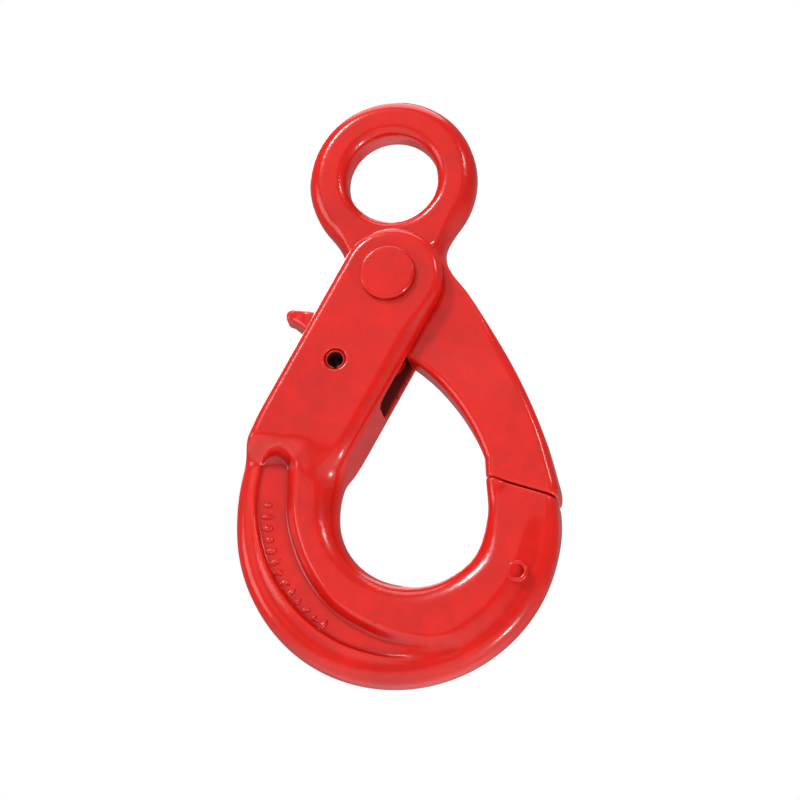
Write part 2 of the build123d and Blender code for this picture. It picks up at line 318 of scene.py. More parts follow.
def trigger_outline():
    """Thumb tab, boss round the trigger pin and tooth."""
    tab = arc_through((-30.9, -36.3), (-32.95, -38.0), (-31.2, -40.1), 12)
    heel = arc(LEVER, 6.8, 205, 275, 12)
    nose = [(-2.1, -56.0), (-0.2, -53.4), (-1.1, -49.8), (TOOTH[0], TOOTH[1] - 0.05),
            (-4.7, -51.5), (-9.0, -52.0), (-16.4, -48.7)]
    inside = smooth_line([nose[-1], (-20.6, -44.2), (-24.2, -38.7)], 24)
    return inside + tab + [(-27.2, -43.5)] + heel + nose[:-1]


# ---- distance fields ----
def distance_to_line(x, z, points, closed):
    """Unsigned distance to a line of points; x and z are arrays of one shape."""
    p = np.array(points)
    q = np.roll(p, -1, axis=0) if closed else p[1:]
    p = p if closed else p[:-1]
    best = np.full(x.shape, 1e18)
    for (ax, az), (bx, bz) in zip(p, q):
        ex, ez = bx - ax, bz - az
        size = ex * ex + ez * ez
        if size < 1e-12:
            continue
        t = np.clip(((x - ax) * ex + (z - az) * ez) / size, 0, 1)
        best = np.minimum(best, (x - ax - t * ex) ** 2 + (z - az - t * ez) ** 2)
    return np.sqrt(best)


def inside_of(x, z, points):
    """Whether points lie inside a closed line."""
    hit = np.zeros(x.shape, bool)
    p = np.array(points)
    q = np.roll(p, -1, axis=0)
    for (ax, az), (bx, bz) in zip(p, q):
        if az == bz:
            continue
        crosses = (az > z) != (bz > z)
        hit ^= crosses & (x < (bx - ax) * (z - az) / (bz - az) + ax)
    return hit


def signed(x, z, points):
    return distance_to_line(x, z, points, True) * np.where(inside_of(x, z, points), -1, 1)


class Plan:
    """Distance fields over the plane of the hook, read back with a smooth cubic."""

    def __init__(self, low, high, step, makers):
        self.low, self.step = np.array(low, float) - 3 * step, step
        counts = np.ceil((np.array(high) + 3 * step - self.low) / step).astype(int) + 1
        x = self.low[0] + step * np.arange(counts[0])
        z = self.low[1] + step * np.arange(counts[1])
        gx, gz = np.meshgrid(x, z, indexing="ij")
        self.maps = {name: maker(gx, gz) for name, maker in makers.items()}

    def read(self, x, z):
        """Every distance at the points, by name."""
        u = (x - self.low[0]) / self.step
        v = (z - self.low[1]) / self.step
        some = next(iter(self.maps.values()))
        i = np.clip(np.floor(u).astype(int), 1, some.shape[0] - 3)
        j = np.clip(np.floor(v).astype(int), 1, some.shape[1] - 3)
        wu, wv = self.weights(u - i), self.weights(v - j)
        out = {}
        for name, grid in self.maps.items():
            total = 0.0
            for a in range(4):
                for b in range(4):
                    total = total + wu[a] * wv[b] * grid[i + a - 1, j + b - 1]
            out[name] = total
        return out

    @staticmethod
    def weights(t):
        return ((-t + 2 * t ** 2 - t ** 3) / 2, (2 - 5 * t ** 2 + 3 * t ** 3) / 2,
                (t + 4 * t ** 2 - 3 * t ** 3) / 2, (t ** 3 - t ** 2) / 2)


def step_up(low, high, value):
    """0 at low, 1 at high and smooth between; low may be the larger."""
    t = np.clip((value - low) / (high - low), 0, 1)
    return t * t * t * (t * (6 * t - 15) + 10)


def mix(a, b, t):
    return a + (b - a) * t


def join_soft(a, b, k):
    """Smooth union of two fields."""
    h = np.maximum(k - np.abs(a - b), 0) / k
    return np.minimum(a, b) - h * h * k / 4


def cut_soft(a, b, k):
    """Field a without field b, with a rounded edge."""
    return -join_soft(-a, b, k)


def slab(d, y, half, rounding):
    """Plate of a plan distance and a half thickness, with rounded rims."""
    q1, q2 = d + rounding, np.abs(y) - half + rounding
    outside = np.hypot(np.maximum(q1, 0), np.maximum(q2, 0))
    return outside + np.minimum(np.maximum(q1, q2), 0) - rounding


CORNERS = list(itertools.product((0, 1), repeat=3))


def surface_net(field, low, high, step):
    """Quads over the zero surface of field(x, y, z), vertices pulled onto the surface."""
    axes = [np.arange(l - 2 * step, h + 2 * step, step) for l, h in zip(low, high)]
    x, y, z = (a.reshape([-1 if i == k else 1 for i in range(3)]) for k, a in enumerate(axes))
    v = field(x, y, z) + 1e-9
    n = [len(a) for a in axes]
    corner = {c: v[c[0]:n[0] - 1 + c[0], c[1]:n[1] - 1 + c[1], c[2]:n[2] - 1 + c[2]]
              for c in CORNERS}
    below = sum((corner[c] < 0).astype(np.int8) for c in CORNERS)
    live = (below > 0) & (below < 8)
    cells = np.argwhere(live)
    number = np.full(live.shape, -1)
    number[live] = np.arange(len(cells))
    at = np.zeros((len(cells), 3))
    hits = np.zeros(len(cells))
    for a, b in itertools.combinations(CORNERS, 2):
        if sum(abs(p - q) for p, q in zip(a, b)) != 1:
            continue
        va, vb = corner[a][live], corner[b][live]
        cross = (va < 0) != (vb < 0)
        t = np.where(cross, va / np.where(cross, va - vb, 1), 0)
        at += cross[:, None] * (np.array(a) + t[:, None] * (np.array(b) - np.array(a)))
        hits += cross
    start = np.array([a[0] for a in axes])
    verts = start + step * (cells + at / hits[:, None])
    quads = []
    for axis in range(3):
        sides = [k for k in range(3) if k != axis]
        far = [slice(0, m) for m in v.shape]
        near = list(far)
        near[axis], far[axis] = slice(0, n[axis] - 1), slice(1, n[axis])
        first, second = v[tuple(near)] < 0, v[tuple(far)] < 0
        spots = np.argwhere(first != second)
        spots = spots[(spots[:, sides[0]] > 0) & (spots[:, sides[1]] > 0)]
        ring = []
        for da, db in ((0, 0), (1, 0), (1, 1), (0, 1)):
            cell = spots.copy()
            cell[:, sides[0]] -= da
            cell[:, sides[1]] -= db
            ring.append(number[tuple(cell.T)])
        ring = np.array(ring).T
        flip = first[tuple(spots.T)] ^ (axis == 1)
        quads.append(np.where(flip[:, None], ring, ring[:, ::-1]))
    return verts, np.concatenate(quads)


def gradient(verts, field, d):
    """Slope of the field at the vertices, by central differences."""
    return np.stack([field(*(verts + e).T) - field(*(verts - e).T)
                     for e in np.eye(3) * d], -1) / (2 * d)


def pull_on(verts, field, step, rounds=3):
    """Moves vertices onto the surface of the field, each within its own cell."""
    home = verts.copy()
    for _ in range(rounds):
        slope = gradient(verts, field, step * 0.2)
        size = np.maximum((slope ** 2).sum(1), 0.05)
        move = slope * (field(*verts.T) / size)[:, None]
        verts = home + np.clip(verts - move - home, -step * 0.8, step * 0.8)
    return verts


def slopes(verts, field, d):
    """Outward unit directions of the field at the vertices."""
    slope = gradient(verts, field, d)
    return slope / np.maximum(np.linalg.norm(slope, axis=1, keepdims=True), 1e-9)


def bend_of(verts, field, reach):
    """How convex the surface is at each vertex: above 0.5 on edges, below in hollows."""
    total = sum(field(*(verts + s * e).T) for e in np.eye(3) * reach for s in (1, -1))
    return np.clip(0.5 + (total - 6 * field(*verts.T)) / (reach * 2.4), 0, 1)


def plan_field(plan, shape):
    """field(x, y, z) of a shape function that reads the plan's distances."""
    def field(x, y, z):
        if x.ndim == 3:
            flat = np.broadcast_arrays(x[:, 0, :], z[:, 0, :])
            maps = {k: m[:, None, :] for k, m in plan.read(*flat).items()}
        else:
            maps = plan.read(x, z)
        return shape(maps, x, y, z)
    return field


# ---- the forgings ----
PLAN_CELL = 0.5
EDGE_BREAK = 0.9  # rounding of plain machined edges
FORK_END = (-75.0, -0.145)  # where the flat cheeks end: height, slope in x
SADDLE_H, NOSE_H, SLOT_H = 8.25, 7.45, 6.3  # half thicknesses of seat, nose and slot
NOSE_ROUND, BEAK_ROUND, FLANK_ROUND = 3.8, 3.2, 4.6  # nose inside, outside, fork inside
SLOT_CORNER = (-65.6, 3.4, 3.0)  # rounded floor of the slot: start, drop, inset
NOSE_X = 14.0  # the seam plane cuts only right of this
PIN_HOLE, LEVER_HOLE = 6.5, 3.05  # radii


def body_plan():
    outer, inner = body_sides()
    outline = outer + inner[::-1]
    return Plan(BODY_BOX[0].xz, BODY_BOX[1].xz, PLAN_CELL, {
        "body": lambda x, z: signed(x, z, outline),
        "seat": lambda x, z: distance_to_line(x, z, inner, False),
        "rim": lambda x, z: distance_to_line(x, z, outer, False),
        "recess": lambda x, z: signed(x, z, recess_outline()),
        "slot": lambda x, z: signed(x, z, slot_outline()),
    })


def body_shape(sizes):
    """The hook body, where m holds its plan's distances: seat, rim, recess, fork, holes."""
    web, rim_half = sizes.web_half * MM, sizes.rim_half * MM
    cheek_round, seat_round, rim_round = (s * MM for s in (
        sizes.cheek_round, sizes.seat_round, sizes.rim_round))

    def past(angle, first, full):
        """Share of the nose at an angle round the bowl, in degrees."""
        return step_up(first, full, angle) * step_up(150.0, 60.0, angle)

    def shape(m, x, y, z):
        angle = np.degrees(np.arctan2(z - BOWL_C[1], x - BOWL_C[0]))
        nose, rim = past(angle, -50.0, -8.0), 1 - past(angle, -30.0, 2.0)
        # thickness: a bowl that thins to its rim, sunk in the recess, below thick cheeks
        side = m["rim"] - m["seat"]
        fall = mix(9.5, 19.0, step_up(-4.0, 20.0, side))
        cheek = step_up(-1.0, 0.05, (z - FORK_END[0] - FORK_END[1] * (x + 40.0)) / fall)
        bowl = mix(SADDLE_H, NOSE_H, nose)
        bowl = mix(bowl, rim_half, step_up(11.5, 3.0, m["rim"]) * rim)
        wall = mix(2.0, 4.6, step_up(7.5, 12.0, m["rim"]))
        wall = mix(wall, 4.4, step_up(-14.0, 4.0, x))
        sunk = step_up(-0.5, 0.5, -m["recess"] / wall)
        sunk = sunk * (1 - 0.75 * step_up(-16.0, 8.0, x) * (z < -120.0))
        half = mix(bowl, CHEEK_H, cheek) - sunk * (bowl - web)
        # rounding of the edges: seat side, rim side, fork
        rounding = mix(mix(BEAK_ROUND, rim_round, rim), mix(seat_round, NOSE_ROUND, nose),
                       step_up(-3.0, 3.0, side))
        fork = mix(cheek_round, FLANK_ROUND, step_up(2.0, 10.0, side) * step_up(-38, -52, z))
        rounding = mix(rounding, fork, step_up(0.15, 0.9, cheek))
        body = slab(m["body"], y, half, np.minimum(rounding, half - 0.2))
        # slot, seam and pin holes
        start, drop, inset = SLOT_CORNER
        corner = np.clip((start - z) / drop, 0, 1)
        width = SLOT_H - inset * (1 - np.sqrt(1 - corner ** 2))
        body = cut_soft(body, np.maximum(m["slot"], np.abs(y) - width), 0.9)
        body = cut_soft(body, np.maximum(-above_seam(x, z) - SEAM / 2, NOSE_X - x), 0.7)
        for centre, radius in ((PIN, PIN_HOLE), (LEVER, LEVER_HOLE)):
            body = cut_soft(body, np.hypot(x - centre[0], z - centre[1]) - radius, 0.5)
        return body
    return shape


EMBLEM = (29.0, -122.6)  # middle of the plain ring near the nose


def skin_depth(plan, shape, spot):
    """Half thickness of a forging at an (x, z) spot."""
    field = plan_field(plan, shape)
    y = np.linspace(0, CHEEK_H, 400)
    inside = field(np.full(400, spot[0]), y, np.full(400, spot[1])) < 0
    return y[inside].max()


def in_slot(plan, x, y, z):
    """How far each point lies inside the slot of the fork, from 0 to 1: the share of painted shade
    there.
    """
    return (step_up(SLOT_H + 0.6, SLOT_H - 0.1, np.abs(y))
            * step_up(1.2, -0.8, plan.read(x, z)["slot"])
            * step_up(HEAD_C[1] + 16.0, HEAD_C[1] + 4.0, z))


def under_cheeks(plan, x, y, z):
    """How far each point of the hub lies between the cheeks, from 0 to 1: the share of painted
    shade there.
    """
    along = (x - HEAD_C[0]) * UP[0] + (z - HEAD_C[1]) * UP[1]
    off = (x - HEAD_C[0]) * ACROSS[0] + (z - HEAD_C[1]) * ACROSS[1]
    reach = np.where(along > 0, np.hypot(along, off), np.abs(off))
    return step_up(CHEEK_R + 0.4, CHEEK_R - 3.0, reach) * 0.8


EYE_IN, EYE_H = 12.9, 5.98  # eye: radius of the bore, half thickness
EYE_LIP, RING_ROUND = 3.6, 4.8  # eye: roundings inside and outside
ARM_ROUND, NECK_ROUND = 2.8, 4.6
HUB_HOLE = 6.6


def arm_plan():
    return Plan(EYE_BOX[0].xz, EYE_BOX[1].xz, PLAN_CELL,
                {"arm": lambda x, z: signed(x, z, arm_outline())})


def arm_shape(m, x, y, z):
    """The eye, the hub and the closing arm."""
    rho, mid = np.hypot(x, z), (EYE_IN + EYE_OUT) / 2
    ring = slab(np.abs(rho - mid) - (EYE_OUT - mid), y, EYE_H,
                np.where(rho > mid, RING_ROUND, EYE_LIP))
    half = mix(EYE_H, ARM_H - 0.05, step_up(-47.0, -76.0, z))
    rounding = mix(EDGE_BREAK, ARM_ROUND, step_up(-38.0, -58.0, z - 0.5 * x + 12.0))
    rounding = mix(rounding, NECK_ROUND, step_up(-29.0, -22.0, z))
    arm = slab(m["arm"], y, half, rounding)
    arm = -join_soft(-arm, above_seam(x, z) - SEAM / 2, 0.7)
    both = np.maximum(join_soft(ring, arm, 6.0), np.abs(y) - half)
    bore = slab(EYE_IN - rho, y, EYE_H, EYE_LIP)
    both = np.where(rho < EYE_OUT, -join_soft(-both, -bore, 0.3), both)
    return cut_soft(both, np.hypot(x - PIN[0], z - PIN[1]) - HUB_HOLE, 0.4)


BOSS_H, TAB_H = 5.68, 3.4  # trigger: half widths of boss and thumb tab
COIL_ROOM, RIB_H = 6.3, 2.5  # trigger: room for the coils, rib between them
LEVER_BORE = 3.06


def trigger_shape(m, x, y, z):
    """The trigger, cut away on both sides for the coils of its spring."""
    half = mix(BOSS_H, TAB_H, step_up(-24.5, -33.5, x))
    lever = slab(m["trigger"], y, half, mix(EDGE_BREAK, 1.2, step_up(-24.0, -30.0, x)))
    around = np.hypot(x - LEVER[0], z - LEVER[1])
    lever = cut_soft(lever, np.maximum(around - COIL_ROOM, RIB_H - np.abs(y)), 0.3)
    return cut_soft(lever, around - LEVER_BORE, 0.2)


INSET, BEND_REACH, SLOPE_REACH = 0.01, 1.1, 0.16


def linked(name, data):
    """A new object of the scene."""
    obj = bpy.data.objects.new(name, data)
    bpy.context.scene.collection.objects.link(obj)
    return obj


def mesh_object(name, verts, faces, **fields):
    """A smooth mesh from millimetres, with named values on its vertices."""
    mesh = bpy.data.meshes.new(name)
    mesh.from_pydata((np.asarray(verts) / MM).tolist(), [], np.asarray(faces).tolist())
    mesh.update()
    mesh.shade_smooth()
    for label, values in fields.items():
        mesh.attributes.new(label, "FLOAT", "POINT").data.foreach_set(
            "value", np.asarray(values, np.float32))
    return linked(name, mesh)


def forged(name, plan, shape, box, step, deep=None):
    """A forging as one closed mesh, with its edges and hollows marked, and the places that get
    painted shade marked.
    """
    field = plan_field(plan, shape)
    verts, quads = surface_net(field, box[0], box[1], step)
    verts = pull_on(verts, field, step)
    verts = np.clip(verts, np.array(box[0]) + INSET, np.array(box[1]) - INSET)
    obj = mesh_object(name, verts, quads, bend=bend_of(verts, field, BEND_REACH),
                      deep=deep(plan, *verts.T) if deep else np.zeros(len(verts)))
    normals = slopes(verts, field, SLOPE_REACH)
    obj.data.normals_split_custom_set_from_vertices(normals.tolist())
    return obj


# ---- shader helpers ----
class Value:
    """A socket that takes part in arithmetic; each expression adds its Math node."""

    def __init__(self, tree, socket):
        self.tree, self.socket = tree, socket

    def math(self, operation, *others):
        return self.tree.add("Math", {"operation": operation}, [self, *others])

    def __add__(self, other):
        return self.math("ADD", other)

    def __sub__(self, other):
        return self.math("SUBTRACT", other)

    def __mul__(self, other):
        return self.math("MULTIPLY", other)

    def __rsub__(self, other):
        return self.tree.add("Math", {"operation": "SUBTRACT"}, [other, self])

    def __gt__(self, other):
        return self.math("GREATER_THAN", other)

    __radd__, __rmul__ = __add__, __mul__

    def clamp(self, low, high):
        """The share of the way from low to high, held to 0 and 1."""
        return self.tree.add("MapRange", {"clamp": True},
                             {"Value": self, "From Min": low, "From Max": high})


class Shader:
    """Builds one material; every node comes from add()."""

    def __init__(self, name):
        self.material = bpy.data.materials.new(name)
        self.material.use_nodes = True
        self.tree = self.material.node_tree
        self.tree.nodes.clear()
        self.place = self.add("TexCoord", output="Object")

    def add(self, kind, settings=None, inputs=(), output=0):
        node = self.tree.nodes.new("ShaderNode" + kind)
        for key, value in (settings or {}).items():
            setattr(node, key, value)
        pairs = inputs.items() if isinstance(inputs, dict) else enumerate(inputs)
        for key, value in pairs:
            socket = node.inputs[key]
            if isinstance(value, Value):
                self.tree.links.new(value.socket, socket)
            else:
                socket.default_value = value
        return Value(self, node.outputs[output])

    def noise(self, scale, detail=2.0, roughness=0.5, distortion=0.0):
        return self.add("TexNoise", {"noise_dimensions": "3D"},
                        {"Vector": self.place, "Scale": scale, "Detail": detail,
                         "Roughness": roughness, "Distortion": distortion})

    def blend(self, factor, first, second):
        """A colour between two; sockets 6 and 7 are the Mix node's colours."""
        return self.add("Mix", {"data_type": "RGBA"},
                        {"Factor": factor, 6: first, 7: second}, output=2)

    def attribute(self, name):
        return self.add("Attribute", {"attribute_name": name}, output="Fac")

    def bump(self, height, distance):
        return self.add("Bump", {},
                        {"Height": height, "Distance": distance, "Strength": 1.0})

    def finish(self, **inputs):
        surface = self.add("BsdfPrincipled", {},
                           {k.replace("_", " "): v for k, v in inputs.items()})
        end = self.tree.nodes.new("ShaderNodeOutputMaterial")
        self.tree.links.new(surface.socket, end.inputs["Surface"])
        return self.material


def enamel(name, look, bends=True):
    """Glossy enamel over a forged skin: random darker mottling, painted highlight on convex edges,
    painted shade in hollows, in the slot, on the hub between the cheeks and in the pin's bore, a
    few chips.
    """
    s = Shader(name)
    cloud = s.noise(55.0, detail=3.0, roughness=0.55)
    patch = s.noise(170.0, distortion=0.6)
    peel = s.noise(950.0, detail=1.0)           # orange peel of the coat
    dents = s.noise(210.0, detail=3.0, roughness=0.6)
    grit = s.noise(2600.0, detail=1.0)
    nick = s.noise(420.0, roughness=0.6)
    tone = s.blend(((cloud - 0.5) * 1.0 + (patch - 0.5) * 0.9).clamp(-0.25, 0.75),
                   tuple(look.enamel), tuple(look.enamel_dark_and_shade))
    if bends:
        # painted shade: darkens the enamel to near black inside the slot, on the hub between the
        # cheeks and in the pin's bore
        tone = s.blend(s.attribute("deep") * 0.9, tone, tuple(look.painted_shade))
        bend = s.attribute("bend")
        # painted shade: darker enamel in hollows, by how concave the surface is
        hollow = (0.5 - bend + (patch - 0.5) * 0.10).clamp(0.02, 0.30)
        # painted highlight: lighter enamel on convex edges, by how convex the surface is
        edge_highlight = (bend - 0.5 + (patch - 0.5) * 0.12).clamp(0.10, 0.42)
        tone = s.blend(hollow * 0.8, tone, tuple(look.enamel_dark_and_shade))
        tone = s.blend(edge_highlight * 0.55, tone, tuple(look.enamel_highlight))
        worn = (bend - 0.5 + (dents - 0.5) * 1.3).clamp(0.47, 0.53)
        worn = worn * (nick > 0.66)
    else:
        worn = nick.clamp(0.735, 0.75)
    tone = s.blend(worn * 0.85, tone, tuple(look.chip))
    rough = look.gloss + (patch - 0.5) * 0.16 + (grit - 0.5) * 0.06 + worn * 0.35
    if bends:
        rough = rough + s.attribute("deep") * 0.5
    relief = dents + (peel - 0.5) * 0.28 + (patch - 0.5) * 0.6 - worn * 0.5
    skin = s.bump(relief, 0.09 / MM)
    return s.finish(Base_Color=tone, Roughness=rough, Normal=skin, Coat_Weight=0.2,
                    Coat_Roughness=0.05, IOR=1.45)


def bare_steel(name, base, scale):
    """Drawn steel with fine lines and a little bloom."""
    s = Shader(name)
    cloud = s.noise(scale, detail=3.0, roughness=0.6)
    fine = s.noise(scale * 9.0, roughness=0.6)
    dark = tuple(c * 0.45 for c in base[:3]) + (1.0,)
    tone = s.blend(cloud.clamp(0.35, 0.7), tuple(base), dark)
    return s.finish(Base_Color=tone, Metallic=0.85, Roughness=0.34 + fine * 0.22,
                    Normal=s.bump(fine, 0.04 / MM))


def pale_floor(name, base):
    """Smooth pale card with a faint grain."""
    s = Shader(name)
    grain = s.noise(40.0, detail=3.0)
    edge = tuple(c * 0.985 for c in base[:3]) + (1.0,)
    return s.finish(Base_Color=s.blend(grain, tuple(base), edge), Roughness=0.6 + grain * 0.1)


def put_on(obj, make, *args, **kw):
    """Gives an object a finish of its own, made by a shader function."""
    obj.data.materials.clear()
    obj.data.materials.append(make(f"hook_{obj.name}_finish", *args, **kw))


def stand_in(obj, node, body):
    """Ties a piece to its body and hides the node that it replaces."""
    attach(obj, body)
    if node:
        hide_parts(node)


def enamelled(obj, look, node, body, **kw):
    put_on(obj, enamel, look, **kw)
    stand_in(obj, node, body)
    return {"FINISHED"}


def sizes_and_finish(context):
    return context.scene.hook_sizes, context.scene.hook_finish


# ---- operators ----
class HOOK_OT_eye_arm(bpy.types.Operator):
    """Build the eye, hub and closing arm"""
    bl_idname = "hook.eye_arm"
    bl_label = "Eye and arm"

    def execute(self, context):
        sizes, look = sizes_and_finish(context)
        # the hub between the cheeks gets painted shade
        obj = forged("eye_and_arm", arm_plan(), arm_shape, EYE_BOX, sizes.arm_cell * MM,
                     under_cheeks)
        return enamelled(obj, look, "eye_arm", "eye_arm_body")


class HOOK_OT_hook_body(bpy.types.Operator):
    """Build the forked shank, bowl and nose"""
    bl_idname = "hook.hook_body"
    bl_label = "Hook body"

    def execute(self, context):
        sizes, look = sizes_and_finish(context)
        # the inside of the slot gets painted shade
        obj = forged("fork_and_bowl", body_plan(), body_shape(sizes), BODY_BOX,
                     sizes.body_cell * MM, in_slot)
        return enamelled(obj, look, "hook_body", "hook")


class HOOK_OT_trigger(bpy.types.Operator):
    """Build the trigger with its thumb tab and tooth"""
    bl_idname = "hook.trigger"
    bl_label = "Trigger"

    def execute(self, context):
        sizes, look = sizes_and_finish(context)
        box = [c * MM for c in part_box("trigger")]
        plan = Plan(box[0].xz, box[1].xz, 0.25,
                    {"trigger": lambda x, z: signed(x, z, trigger_outline())})
        obj = forged("locking_trigger", plan, trigger_shape, box, sizes.lever_cell * MM)
        return enamelled(obj, look, "trigger", "trigger_lever")


def turned(profile, centre, count=96):
    """Vertices and faces of a closed profile of (radius, y) turned about an axis along Y."""
    verts, faces = [], []
    rows = len(profile)
    for k in range(count):
        a = 2 * math.pi * k / count
        verts += [(centre[0] + r * math.cos(a), y, centre[1] + r * math.sin(a))
                  for r, y in profile]
    for k in range(count):
        n = (k + 1) % count
        faces += [(k * rows + i, k * rows + i + 1, n * rows + i + 1, n * rows + i)
                  for i in range(rows - 1)]
    return verts, faces


def close_up(obj):
    """Merges doubles and turns the faces outwards."""
    bm = bmesh.new()
    bm.from_mesh(obj.data)
    bmesh.ops.remove_doubles(bm, verts=bm.verts, dist=1e-7)
    bmesh.ops.dissolve_degenerate(bm, edges=bm.edges, dist=1e-8)
    bmesh.ops.recalc_face_normals(bm, faces=bm.faces)
    bm.to_mesh(obj.data)
    bm.free()
    obj.data.shade_smooth()


class HOOK_OT_pins(bpy.types.Operator):
    """Build the headed load pin and the slotted pin of the trigger"""
    bl_idname = "hook.pins"
    bl_label = "Pins"

    def execute(self, context):
        look = context.scene.hook_finish
        self.load_pin(look)
        self.spring_pin(look)
        return {"FINISHED"}

    def load_pin(self, look):
        """A riveted head on each cheek, with a soft edge and a slight dome."""
        top, face = HEAD_BOX[1].y - 0.02, CHEEK_H
        head, shaft, soft, dome = 7.98, 6.48, 0.95, 0.12
        half = [(0.0, top), (head * 0.45, top - dome * 0.2), (head * 0.8, top - dome)]
        half += [(head - soft + soft * math.sin(a), top - dome - soft + soft * math.cos(a))
                 for a in np.linspace(0.05, math.pi / 2, 9)]
        half += [(head, face + 0.02), (shaft, face + 0.01), (shaft, face - 0.05), (shaft, 0.5)]
        profile = half + [(r, -y) for r, y in reversed(half)]
        obj = mesh_object("headed_load_pin", *turned(profile, PIN))
        close_up(obj)
        enamelled(obj, look, "load_pin", "hook", bends=False)

    def spring_pin(self, look):
        """A rolled tube with a gap along its underside."""
        outer, hollow, half, gap = 2.98, 2.25, CHEEK_H - 0.62, 10.0
        section = [(outer, a) for a in np.linspace(270 + gap, 630 - gap, 60)]
        section += [(hollow, a) for a in np.linspace(630 - gap * 1.3, 270 + gap * 1.3, 60)]
        # each row: place along the pin, inset of the ends, share of painted shade on the bore's
        # wall
        rows = [(half, -0.35, 0.0), (half - 0.35, 0.0, 0.9), (half - 1.2, 0.0, 1.0),
                (1.2 - half, 0.0, 1.0), (0.35 - half, 0.0, 0.9), (-half, -0.35, 0.0)]
        verts, inside = [], []
        for y, inset, dark in rows:
            for r, a in section:
                grow = inset if r == outer else -inset * 0.6
                px, pz = polar(LEVER, r + grow, a)
                verts.append((px, y, pz))
                inside.append(dark if r == hollow else 0.0)
        n = len(section)
        faces = [(k * n + i, k * n + (i + 1) % n, (k + 1) * n + (i + 1) % n, (k + 1) * n + i)
                 for k in range(len(rows) - 1) for i in range(n)]
        for k in (0, len(rows) - 1):
            faces += [(k * n + i, k * n + i + 1, k * n + n - 2 - i, k * n + n - 1 - i)
                      for i in range(n // 2 - 1)]
        obj = mesh_object("slotted_pin", verts, faces, deep=inside, bend=[0.5] * len(verts))
        close_up(obj)
        put_on(obj, enamel, look)
        stand_in(obj, "trigger_pin", "hook")


def node_tree(name, **inputs):
    """A geometry tree, the identifiers and sockets of its named inputs, and a node adder."""
    tree = bpy.data.node_groups.new(name, "GeometryNodeTree")
    tree.interface.new_socket("Geometry", in_out="OUTPUT", socket_type="NodeSocketGeometry")
    ids = {}
    for kind, labels in inputs.items():
        for label in labels.split(", "):
            item = tree.interface.new_socket(label, in_out="INPUT",
                                             socket_type="NodeSocket" + kind)
            ids[label] = item.identifier

    def add(kind, settings=None, inputs=None, output=0):
        family = "" if kind.startswith(("Shader", "Function")) else "GeometryNode"
        node = tree.nodes.new(family + kind)
        for key, value in (settings or {}).items():
            setattr(node, key, value)
        for key, value in (inputs or {}).items():
            if isinstance(value, bpy.types.NodeSocket):
                tree.links.new(value, node.inputs[key])
            else:
                node.inputs[key].default_value = value
        return node.outputs[output]
    return tree, ids, tree.nodes.new("NodeGroupInput").outputs, add


def joined(tree, *parts):
    node = tree.nodes.new("GeometryNodeJoinGeometry")
    for part in parts:
        tree.links.new(part, node.inputs[0])
    return node.outputs[0]


def end_tree(tree, add, geometry, material):
    real = add("RealizeInstances", inputs={"Geometry": geometry})
    done = add("SetMaterial", inputs={"Geometry": real, "Material": material})
    tree.links.new(done, tree.nodes.new("NodeGroupOutput").inputs[0])


def grown(name, tree, ids, values):
    """Runs a geometry tree and returns its result as a plain mesh object."""
    holder = linked(name + "_maker", bpy.data.meshes.new(name + "_maker"))
    modifier = holder.modifiers.new("maker", "NODES")
    modifier.node_group = tree
    for label, value in values.items():
        modifier[ids[label]] = value
    holder.update_tag()
    graph = bpy.context.evaluated_depsgraph_get()
    graph.update()
    mesh = bpy.data.meshes.new_from_object(holder.evaluated_get(graph), depsgraph=graph)
    holder.modifiers.remove(modifier)
    bpy.data.objects.remove(holder)
    mesh.name = name
    mesh.shade_smooth()
    return linked(name, mesh)


COIL_PITCH, COIL_TURNS, COIL_START = 1.15, 2.0, 3.3  # start: from the middle plane


class HOOK_OT_spring(bpy.types.Operator):
    """Build the double torsion spring of the trigger"""
    bl_idname = "hook.spring"
    bl_label = "Trigger spring"

    def execute(self, context):
        sizes, look = sizes_and_finish(context)
        tree, ids, given, add = node_tree(
            "hook_spring_maker", Float="Coil Radius, Wire Radius, Pitch, Turns, Offset",
            Vector="Axis", Material="Finish")
        height = add("ShaderNodeMath", {"operation": "MULTIPLY"},
                     {0: given["Pitch"], 1: given["Turns"]})
        spiral = add("CurveSpiral", {}, {
            "Resolution": 40, "Rotations": given["Turns"], "Start Radius": given["Coil Radius"],
            "End Radius": given["Coil Radius"], "Height": height})
        section = add("CurvePrimitiveCircle", {}, {
            "Resolution": 14, "Radius": given["Wire Radius"]})
        wire = add("CurveToMesh", {}, {"Curve": spiral, "Profile Curve": section,
                                                   "Fill Caps": True})
        lift = add("ShaderNodeCombineXYZ", {}, {"Z": given["Offset"]})
        wire = add("Transform", {}, {"Geometry": wire, "Translation": lift})
        coils = []
        for side in (90.0, -90.0):
            coil = add("Transform", {}, {
                "Geometry": wire, "Rotation": (math.radians(side), 0.0, 0.0)})
            coils.append(add("Transform", {}, {"Geometry": coil,
                                                           "Translation": given["Axis"]}))
        end_tree(tree, add, joined(tree, *coils), given["Finish"])
        obj = grown("double_torsion_spring", tree, ids, {
            "Coil Radius": sizes.coil, "Wire Radius": sizes.wire / 2,
            "Pitch": COIL_PITCH / MM, "Turns": COIL_TURNS, "Offset": COIL_START / MM,
            "Axis": (LEVER[0] / MM, 0.0, LEVER[1] / MM),
            "Finish": bare_steel("hook_spring_finish", look.wire, 420.0)})
        close_up(obj)
        stand_in(obj, "trigger_spring", "trigger_lever")
        return {"FINISHED"}


MARKS = 13  # strokes in the row along the recess
MARKS_R, MARKS_FROM, MARKS_SWEEP = 41.4, 172.0, 57.0  # round the bowl: mm, degrees
STROKE = (0.62, 1.9, 0.72)  # half width, half length, half height
RING_R, RING_WIRE = 2.6, 0.7


